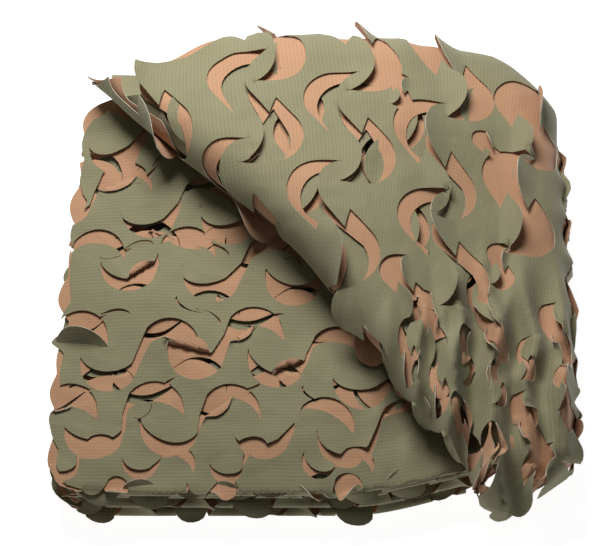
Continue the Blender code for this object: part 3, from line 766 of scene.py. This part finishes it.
# Spacing of the flat grid's points, by level. SHOWN_LEVEL has the layers that show, with their level there.
GRID_STEPS = (0.0044, 0.0068, 0.0080, 0.0140)
EDGE_LEVEL, HIDDEN_LEVEL = 2, 3
SHOWN_LEVEL = dict(zip(range(PAD_LAYERS - 1, LAYERS + 1), (1, 0, 0, 1, 2, 2)))
# How far before the roll's axis a layer still shows, and how wide the edges count as seen
PAD_SEEN, TURNED_SEEN, EDGE_SEEN = -0.03, -0.01, 0.035
# Height of an even triangle over its side
ROW_SHARE = 0.87
LOOP_STEP = 0.006


def spacing(layer, x, y):
    """How close the flat grid's points are: fine where the cloth shows."""
    unseen = np.where(inside_by(x, y) < EDGE_SEEN, EDGE_LEVEL, HIDDEN_LEVEL)
    if layer not in SHOWN_LEVEL:
        return unseen
    seen_from = PAD_SEEN if layer <= PAD_LAYERS else TURNED_SEEN
    return np.where(past_axis(x, y) > seen_from, SHOWN_LEVEL[layer], unseen)


def sides_at(v, stations):
    """x of the left and the right edge at places along the cloth."""
    return np.interp(v, stations[:, 0], stations[:, 1]), np.interp(v, stations[:, 0], stations[:, 2])


def grid_points(first, last, stations):
    """Flat points that fill the cloth, in staggered rows."""
    points = []
    for layer in range(first, last + 1):
        row = RUN[layer]
        for level, step in enumerate(GRID_STEPS):
            rows = round(row.length / (step * ROW_SHARE))
            for index in range(1, rows):
                v = row.v + row.length * index / rows
                left, right = sides_at(v, stations)
                x = np.arange(left + step * (0.5 + 0.5 * (index % 2)), right, step)
                x = x[spacing(layer, x, run_y(layer, v)) == level]
                points.append(np.stack((x, np.full(len(x), v)), axis=-1))
    for row in ROWS:
        if row.turn and first <= row.layer < last:
            for index in range(0, LOOP_ROWS + 1):
                v = row.v + row.length * index / LOOP_ROWS
                left, right = sides_at(v, stations)
                x = np.arange(left + 0.002 + LOOP_STEP / 2 * (index % 2), right, LOOP_STEP)
                points.append(np.stack((x, np.full(len(x), v)), axis=-1))
    return np.concatenate(points)


def largest_part(faces, count):
    """The faces of the largest connected part."""
    parent = list(range(count))

    def root(i):
        while parent[i] != i:
            parent[i] = parent[parent[i]]
            i = parent[i]
        return i

    for a, b, c in faces:
        ra = root(a)
        parent[root(b)] = ra
        parent[root(c)] = root(ra)
    roots = np.array([root(face[0]) for face in faces])
    names, sizes = np.unique(roots, return_counts=True)
    return np.array(faces)[roots == names[np.argmax(sizes)]]


# Spacing of the points of a cut's outline, where it shows and elsewhere
CUT_STEP, HIDDEN_CUT_STEP = 0.0035, 0.006
# A cut is made if its middle is in its layer, no further than this off an edge, and its ends are on the cloth
CUT_ENDS, CUT_OFF_EDGE = 0.004, 0.02
# A grid point this near an outline is left out, and points this near are one
CLEAR_OF_OUTLINE, SAME_POINT = 0.0022, 1e-6


def cuts_within(first, last, stations):
    """The cuts that lie on a stretch of cloth, with their outlines."""
    made, lines = [], []
    v_low, v_high = stations[0, 0], stations[-1, 0]
    for cut in CUTS:
        if not first <= cut.layer <= last:
            continue
        line = gap_outline(cut, CUT_STEP if cut.layer in (PAD_LAYERS, FLAP_TOP) else HIDDEN_CUT_STEP)
        middle = line.mean(axis=0)
        own = RUN[cut.layer]
        if not own.v - CUT_ENDS < middle[1] < own.v + own.length + CUT_ENDS:
            continue
        left, right = sides_at(middle[1], stations)
        if not left - CUT_OFF_EDGE < middle[0] < right + CUT_OFF_EDGE:
            continue
        if line[:, 1].min() < v_low + CUT_ENDS or line[:, 1].max() > v_high - CUT_ENDS:
            continue
        made.append(cut)
        lines.append(line)
    return made, lines


def flat_sheet(first, last):
    """Flat points and triangles of the cut cloth from one layer to another, and its cuts."""
    stations = edge_stations(first, last)
    v_low, v_high = stations[0, 0], stations[-1, 0]
    outline = np.concatenate((stations[:, [0, 1]][:, ::-1], stations[:, [0, 2]][::-1][:, ::-1]))
    made, lines = cuts_within(first, last, stations)
    lines = [outline] + lines
    fixed = np.concatenate(lines)
    tree = KDTree(len(fixed))
    for index, point in enumerate(fixed):
        tree.insert((point[0], point[1], 0.0), index)
    tree.balance()
    grid = grid_points(first, last, stations)
    keep = np.ones(len(grid), dtype=bool)
    for line in lines[1:]:
        keep[in_cut(line, grid)] = False
    grid = grid[keep]
    grid = grid[[tree.find((x, v, 0.0))[2] > CLEAR_OF_OUTLINE for x, v in grid]]
    points = [Vector(point) for point in np.concatenate((fixed, grid)).tolist()]
    edges, start = [], 0
    for line in lines:
        edges += [(start + i, start + (i + 1) % len(line)) for i in range(len(line))]
        start += len(line)
    found, _, faces, *_ = delaunay_2d_cdt(points, edges, [], 0, SAME_POINT)
    found = np.array([tuple(point) for point in found])
    faces = np.array([tuple(face) for face in faces])
    middles = found[faces].mean(axis=1)
    left, right = sides_at(middles[:, 1], stations)
    kept = (middles[:, 0] > left) & (middles[:, 0] < right)
    kept &= (middles[:, 1] > v_low) & (middles[:, 1] < v_high)
    for line in lines[1:]:
        kept[in_cut(line, middles)] = False
    faces = largest_part(faces[kept].tolist(), len(found))
    used = np.unique(faces)
    place = np.full(len(found), -1)
    place[used] = np.arange(len(used))
    return found[used], place[faces], made


# ---- Wrinkles and curled tongues ----

# Height of the wrinkles, and the share of it in the half-turns
WRINKLE, WRINKLE_IN_TURNS = 0.0004, 0.25
# A tongue with less curl than this, in radians a metre, counts as having this much
LEAST_CURL = 1e-2
# How far apart the points are that tell which way the cloth faces at a tongue's root
PROBE = 0.001


def wrinkle_lift(x, v):
    """How far wrinkles lift the cloth toward its green side."""
    free = np.where(ROW_TURNS[row_at(v)], WRINKLE_IN_TURNS, 1.0)
    return WRINKLE * ripples(x, v) * free


def tongue_places(cut, tongue, side, qx, qy, lift):
    """Where points of one tongue go. qx and qy are about the S, turned so that this is its upper tongue."""
    path, _, barb = cut_path(cut, CUT_STEP)
    root = path[0]
    end = np.array((cut.gap / 2, 0.0)) - barb
    chord = (end - root) / np.linalg.norm(end - root)
    out = np.array((chord[1], -chord[0]))
    rel = np.stack((qx, qy), axis=-1) - root
    along, depth = rel @ chord, np.maximum(rel @ out, 0.0)
    if tongue.fold:
        skew = math.radians(tongue.skew)
        middle = 0.5 * np.linalg.norm(end - root)
        past = depth * math.cos(skew) + (along - middle) * math.sin(skew) - tongue.fold / 1000
        round_fold = np.clip(past / FOLD_BEND, 0.0, math.pi)
        flat_past = np.sin(round_fold) * FOLD_BEND - np.maximum(past - math.pi * FOLD_BEND, 0.0)
        moved = np.where(past > 0, flat_past - past, 0.0)
        depth, along = depth + moved * math.cos(skew), along + moved * math.sin(skew)
        lift = lift + np.where(past > 0, (1 - np.cos(round_fold)) * FOLD_BEND, 0.0)
    crease, curl = math.radians(tongue.crease), math.radians(tongue.curl)
    rate = curl / (S_TIP * cut.size * cut.narrow)
    rate = rate if abs(rate) > LEAST_CURL else LEAST_CURL
    reach = tongue.shrink * (np.sin(crease + rate * depth) - math.sin(crease)) / rate
    rise = tongue.shrink * (math.cos(crease) - np.cos(crease + rate * depth)) / rate
    hinge = root + along[:, None] * chord
    target = hinge + reach[:, None] * out + (tongue.slide * depth)[:, None] * chord

    def placed(points, lifts):
        points = points * side
        return cloth_points(*flat_of(cut.layer, *to_plan(cut, points[:, 0], points[:, 1])), lifts)

    follow = placed(target, lift + rise)
    slid = hinge + (tongue.slide * depth)[:, None] * chord
    base = placed(slid, lift)
    ahead = placed(slid + out * PROBE, lift)
    beside = placed(slid + chord * PROBE, lift)
    above = placed(slid, lift + PROBE)
    tangent = (ahead - base) / PROBE
    normal = units(np.cross(tangent, beside - base))
    normal *= np.sign(np.sum(normal * (above - base), axis=1, keepdims=True))
    straight = base + tangent * reach[:, None] + normal * rise[:, None]
    return follow + (straight - follow) * cut.stiff


def tongue_outline(cut):
    """The upper tongue about the S: its arc, its tip and its root."""
    path, along, barb = cut_path(cut, CUT_STEP)
    count = (len(path) - 1) // 2
    opened = np.clip((along[:count, None] / cut.size - OPEN_FROM) / OPEN_RAMP, 0.0, 1.0)
    line = path[:count] + opened * np.array((cut.gap / 2, 0.0))
    end = np.array((cut.gap / 2, 0.0)) - barb
    return np.concatenate((line, [end]))


# No cut reaches further than this past its layer
CUT_REACH = 0.08


def place_sheet(flat, made):
    """The middle of the cloth in the pad, with its wrinkles and its tongues."""
    x, v = flat[:, 0], flat[:, 1]
    lift = wrinkle_lift(x, v)
    places = cloth_points(x, v, lift)
    for cut in made:
        own = RUN[cut.layer]
        near = np.flatnonzero((v > own.v - CUT_REACH) & (v < own.v + own.length + CUT_REACH))
        px, py = plan_of(cut.layer, x[near], v[near])
        lx, ly = to_local(cut, px, py)
        outline = tongue_outline(cut)
        for side, tongue in zip((1, -1), cut.tongues):
            qx, qy = lx * side, ly * side
            inside = in_cut(outline, np.stack((qx, qy), axis=-1))
            if len(inside):
                picked = near[inside]
                places[picked] = tongue_places(cut, tongue, side, qx[inside], qy[inside], lift[picked])
    places[:, 2] = np.maximum(places[:, 2], THICK)
    return places


def add_object(name, data):
    """A new object in the scene."""
    made = bpy.data.objects.new(name, data)
    bpy.context.scene.collection.objects.link(made)
    return made


def sheet_object(name, first, last, materials):
    """Both faces of a stretch of cloth and the cut walls between them."""
    flat, faces, made = flat_sheet(first, last)
    middle = place_sheet(flat, made)
    corners = middle[faces]
    face_normals = np.cross(corners[:, 1] - corners[:, 0], corners[:, 2] - corners[:, 0])
    normals = np.zeros_like(middle)
    for corner in range(3):
        np.add.at(normals, faces[:, corner], face_normals)
    normals = units(normals)
    count = len(flat)
    vertices = np.concatenate((middle + normals * THICK / 2, middle - normals * THICK / 2))
    # The sides of triangles that no other triangle shares
    a, b = faces.reshape(-1).astype(np.int64), np.roll(faces, -1, axis=1).reshape(-1).astype(np.int64)
    open_side = ~np.isin(b * count + a, a * count + b)
    rim_a, rim_b = a[open_side], b[open_side]
    walls = np.concatenate((np.stack((rim_b, rim_a, rim_a + count), axis=-1),
                            np.stack((rim_b, rim_a + count, rim_b + count), axis=-1)))
    polygons = np.concatenate((faces, faces[:, ::-1] + count, walls))
    mesh = bpy.data.meshes.new(name)
    mesh.from_pydata(vertices.tolist(), [], polygons.tolist())
    for material in materials:
        mesh.materials.append(material)
    slots = np.repeat(np.arange(3, dtype=np.int32), (len(faces), len(faces), len(walls)))
    mesh.polygons.foreach_set("material_index", slots)
    mesh.shade_smooth()
    uv = mesh.uv_layers.new(name="cloth")
    both = np.concatenate((flat, flat))
    corner_index = np.empty(len(mesh.loops), dtype=np.int32)
    mesh.loops.foreach_get("vertex_index", corner_index)
    uv.data.foreach_set("uv", both[corner_index].astype(np.float32).reshape(-1))
    edge_ends = np.empty(len(mesh.edges) * 2, dtype=np.int32)
    mesh.edges.foreach_get("vertices", edge_ends)
    edge_ends = np.sort(edge_ends.reshape(-1, 2), axis=1).astype(np.int64)
    rim = np.sort(np.stack((rim_a, rim_b), axis=-1), axis=1)
    rim = np.concatenate((rim, rim + count))
    edge_keys, rim_keys = (ends[:, 0] * 4 * count + ends[:, 1] for ends in (edge_ends, rim))
    sharp = mesh.attributes.new("sharp_edge", "BOOLEAN", "EDGE")
    sharp.data.foreach_set("value", np.isin(edge_keys, rim_keys))
    mesh.update()
    piece = add_object(name, mesh)
    one, two = flat[faces[:, 1]] - flat[faces[:, 0]], flat[faces[:, 2]] - flat[faces[:, 0]]
    area = np.abs(one[:, 0] * two[:, 1] - one[:, 1] * two[:, 0]).sum() / 2
    return piece, flat, float(area)


# ---- Materials ----

# Side of the ripstop squares, and a raised yarn's half width as a share of it
RIPSTOP, YARN_WIDTH = 0.0034, 0.22


def set_inputs(node, values):
    """Sets a node's inputs by their names or places."""
    for key, value in values.items():
        node.inputs[key].default_value = value


def cloth_material(name, colour, other, roughness):
    """Coated ripstop cloth: a fine weave, raised yarns in squares and uneven dye."""
    material = bpy.data.materials.new(name)
    material.use_nodes = True
    tree = material.node_tree
    nodes, links = tree.nodes, tree.links
    shader = nodes["Principled BSDF"]
    set_inputs(shader, {"Roughness": roughness, "Specular IOR Level": 0.25, "Sheen Weight": 0.15})
    uv = nodes.new("ShaderNodeUVMap")
    uv.uv_map = "cloth"
    split = nodes.new("ShaderNodeSeparateXYZ")
    links.new(uv.outputs["UV"], split.inputs[0])

    def math_node(operation, a, b, clamp=False):
        node = nodes.new("ShaderNodeMath")
        node.operation = operation
        node.use_clamp = clamp
        for socket, value in zip(node.inputs, (a, b)):
            if isinstance(value, (int, float)):
                socket.default_value = value
            else:
                links.new(value, socket)
        return node.outputs[0]

    def noise_node(scale, detail, distortion=0.0):
        node = nodes.new("ShaderNodeTexNoise")
        set_inputs(node, {"Scale": scale, "Detail": detail, "Distortion": distortion})
        links.new(uv.outputs["UV"], node.inputs["Vector"])
        return node.outputs["Fac"]

    def bump_node(height, strength, distance):
        node = nodes.new("ShaderNodeBump")
        set_inputs(node, {"Strength": strength, "Distance": distance})
        links.new(height, node.inputs["Height"])
        return node

    lines = []
    for axis, strength in (("X", 0.55), ("Y", 1.0)):
        part = math_node("PINGPONG", math_node("MULTIPLY", split.outputs[axis], 1 / RIPSTOP), 0.5)
        line = math_node("SUBTRACT", 1.0, math_node("DIVIDE", part, YARN_WIDTH), clamp=True)
        lines.append(math_node("MULTIPLY", line, strength))
    yarn = math_node("MAXIMUM", lines[0], lines[1])

    patch = noise_node(26.0, 4.0)
    speck = noise_node(900.0, 2.0)
    amount = math_node("ADD", math_node("MULTIPLY", patch, 0.5), math_node("MULTIPLY", speck, 0.5))
    amount = math_node("SUBTRACT", amount, 0.2)
    amount = math_node("ADD", amount, math_node("MULTIPLY", yarn, 0.55), clamp=True)
    dye = nodes.new("ShaderNodeMix")
    dye.data_type = "RGBA"
    links.new(amount, dye.inputs["Factor"])
    set_inputs(dye, {6: (*other, 1.0), 7: (*colour, 1.0)})
    links.new(dye.outputs[2], shader.inputs["Base Color"])

    weave = math_node("ADD", math_node("MULTIPLY", yarn, 0.6), math_node("MULTIPLY", speck, 0.5))
    crumple = bump_node(noise_node(30.0, 1.5, 0.5), 0.3, 0.008)
    raised = bump_node(weave, 0.35, 0.0004)
    links.new(crumple.outputs["Normal"], raised.inputs["Normal"])
    links.new(raised.outputs["Normal"], shader.inputs["Normal"])
    return material


def make_materials():
    """The green face, the brown face and the pale cut edges."""
    green = cloth_material("net_green", (0.290, 0.270, 0.158), (0.195, 0.180, 0.100), 0.80)
    brown = cloth_material("net_brown", (0.520, 0.298, 0.172), (0.400, 0.216, 0.118), 0.80)
    rim = cloth_material("net_cut_rim", (0.62, 0.55, 0.42), (0.40, 0.35, 0.25), 0.90)
    return [green, brown, rim]


# ---- Floor, light and camera ----

WHITE = (1.0, 1.0, 1.0, 1.0)
FLOOR_REACH = 6.0
FLOOR_GREY, FLOOR_GLOW = 0.45, 0.94
WORLD_STRENGTH = 0.07
KEY_PLACE, KEY_AIM = (-0.16, 0.52, 0.98), (0.0, 0.05, 0.10)
KEY_SIZE, KEY_POWER = 0.45, 13.9


def make_stage():
    """The white floor."""
    mesh = bpy.data.meshes.new("floor")
    reach = FLOOR_REACH
    corners = [(-reach, -reach, 0), (reach, -reach, 0), (reach, reach, 0), (-reach, reach, 0)]
    mesh.from_pydata(corners, [], [(0, 1, 2, 3)])
    floor = add_object("floor", mesh)
    material = bpy.data.materials.new("floor_white")
    material.use_nodes = True
    set_inputs(material.node_tree.nodes["Principled BSDF"], {
        "Base Color": (FLOOR_GREY, FLOOR_GREY, FLOOR_GREY, 1.0), "Roughness": 0.9,
        "Emission Color": WHITE, "Emission Strength": FLOOR_GLOW})
    mesh.materials.append(material)


def make_light():
    """A faint even light from all sides, and one soft lamp behind the pad."""
    world = bpy.data.worlds.new("studio")
    world.use_nodes = True
    set_inputs(world.node_tree.nodes["Background"], {"Color": WHITE, "Strength": WORLD_STRENGTH})
    scene = bpy.context.scene
    scene.world = world
    light = bpy.data.lights.new("key", "AREA")
    light.shape = "SQUARE"
    light.size = KEY_SIZE
    light.energy = KEY_POWER
    key = add_object("key", light)
    key.location = KEY_PLACE
    key.rotation_euler = (Vector(KEY_AIM) - Vector(KEY_PLACE)).to_track_quat("-Z", "Y").to_euler()
    scene.view_settings.view_transform = "Standard"
    scene.view_settings.look = "None"


# The photograph's view. AIM is in the CAD part's own frame, and AIM_PIXEL is where it stands in the picture.
CAMERA_ELEVATION = math.radians(60)
CAMERA_DISTANCE = 1.75
AIM = (0.0, 0.0, 0.07)
FOCAL_PIXELS = 1840.0
PICTURE_WIDTH, PICTURE_HEIGHT = 600, 546
AIM_PIXEL = (305.0, 280.0)
SENSOR = 36.0


def make_camera():
    """The camera that took the photograph, as far as the picture tells."""
    data = bpy.data.cameras.new("camera")
    data.sensor_width = SENSOR
    data.sensor_fit = "HORIZONTAL"
    data.lens = FOCAL_PIXELS / PICTURE_WIDTH * SENSOR
    data.shift_x = -(AIM_PIXEL[0] - PICTURE_WIDTH / 2) / PICTURE_WIDTH
    data.shift_y = (AIM_PIXEL[1] - PICTURE_HEIGHT / 2) / PICTURE_WIDTH
    camera = add_object("camera", data)
    aim = Vector(AIM) + Vector(SETTLE)
    back = Vector((0.0, -math.cos(CAMERA_ELEVATION), math.sin(CAMERA_ELEVATION)))
    camera.location = aim + CAMERA_DISTANCE * back
    camera.rotation_euler = (math.pi / 2 - CAMERA_ELEVATION, 0.0, 0.0)
    bpy.context.scene.camera = camera


# ---- The scene ----

# The layers of each piece. The pad's two top ones, with the cuts that show, go with the turned ones.
PAD_PIECE, FLAP_PIECE = (1, PAD_LAYERS - 2), (PAD_LAYERS - 1, LAYERS)


def make_net(name, first, last, materials):
    """One piece of the net: the layers from first to last, without the fold that leads on to the next."""
    piece, flat, area = sheet_object(name, first, last, materials)
    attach(piece, "root")
    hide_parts("netting")


MATERIALS = make_materials()
make_net("net_pad", *PAD_PIECE, MATERIALS)
make_net("net_flap", *FLAP_PIECE, MATERIALS)
make_stage()
make_light()
make_camera()
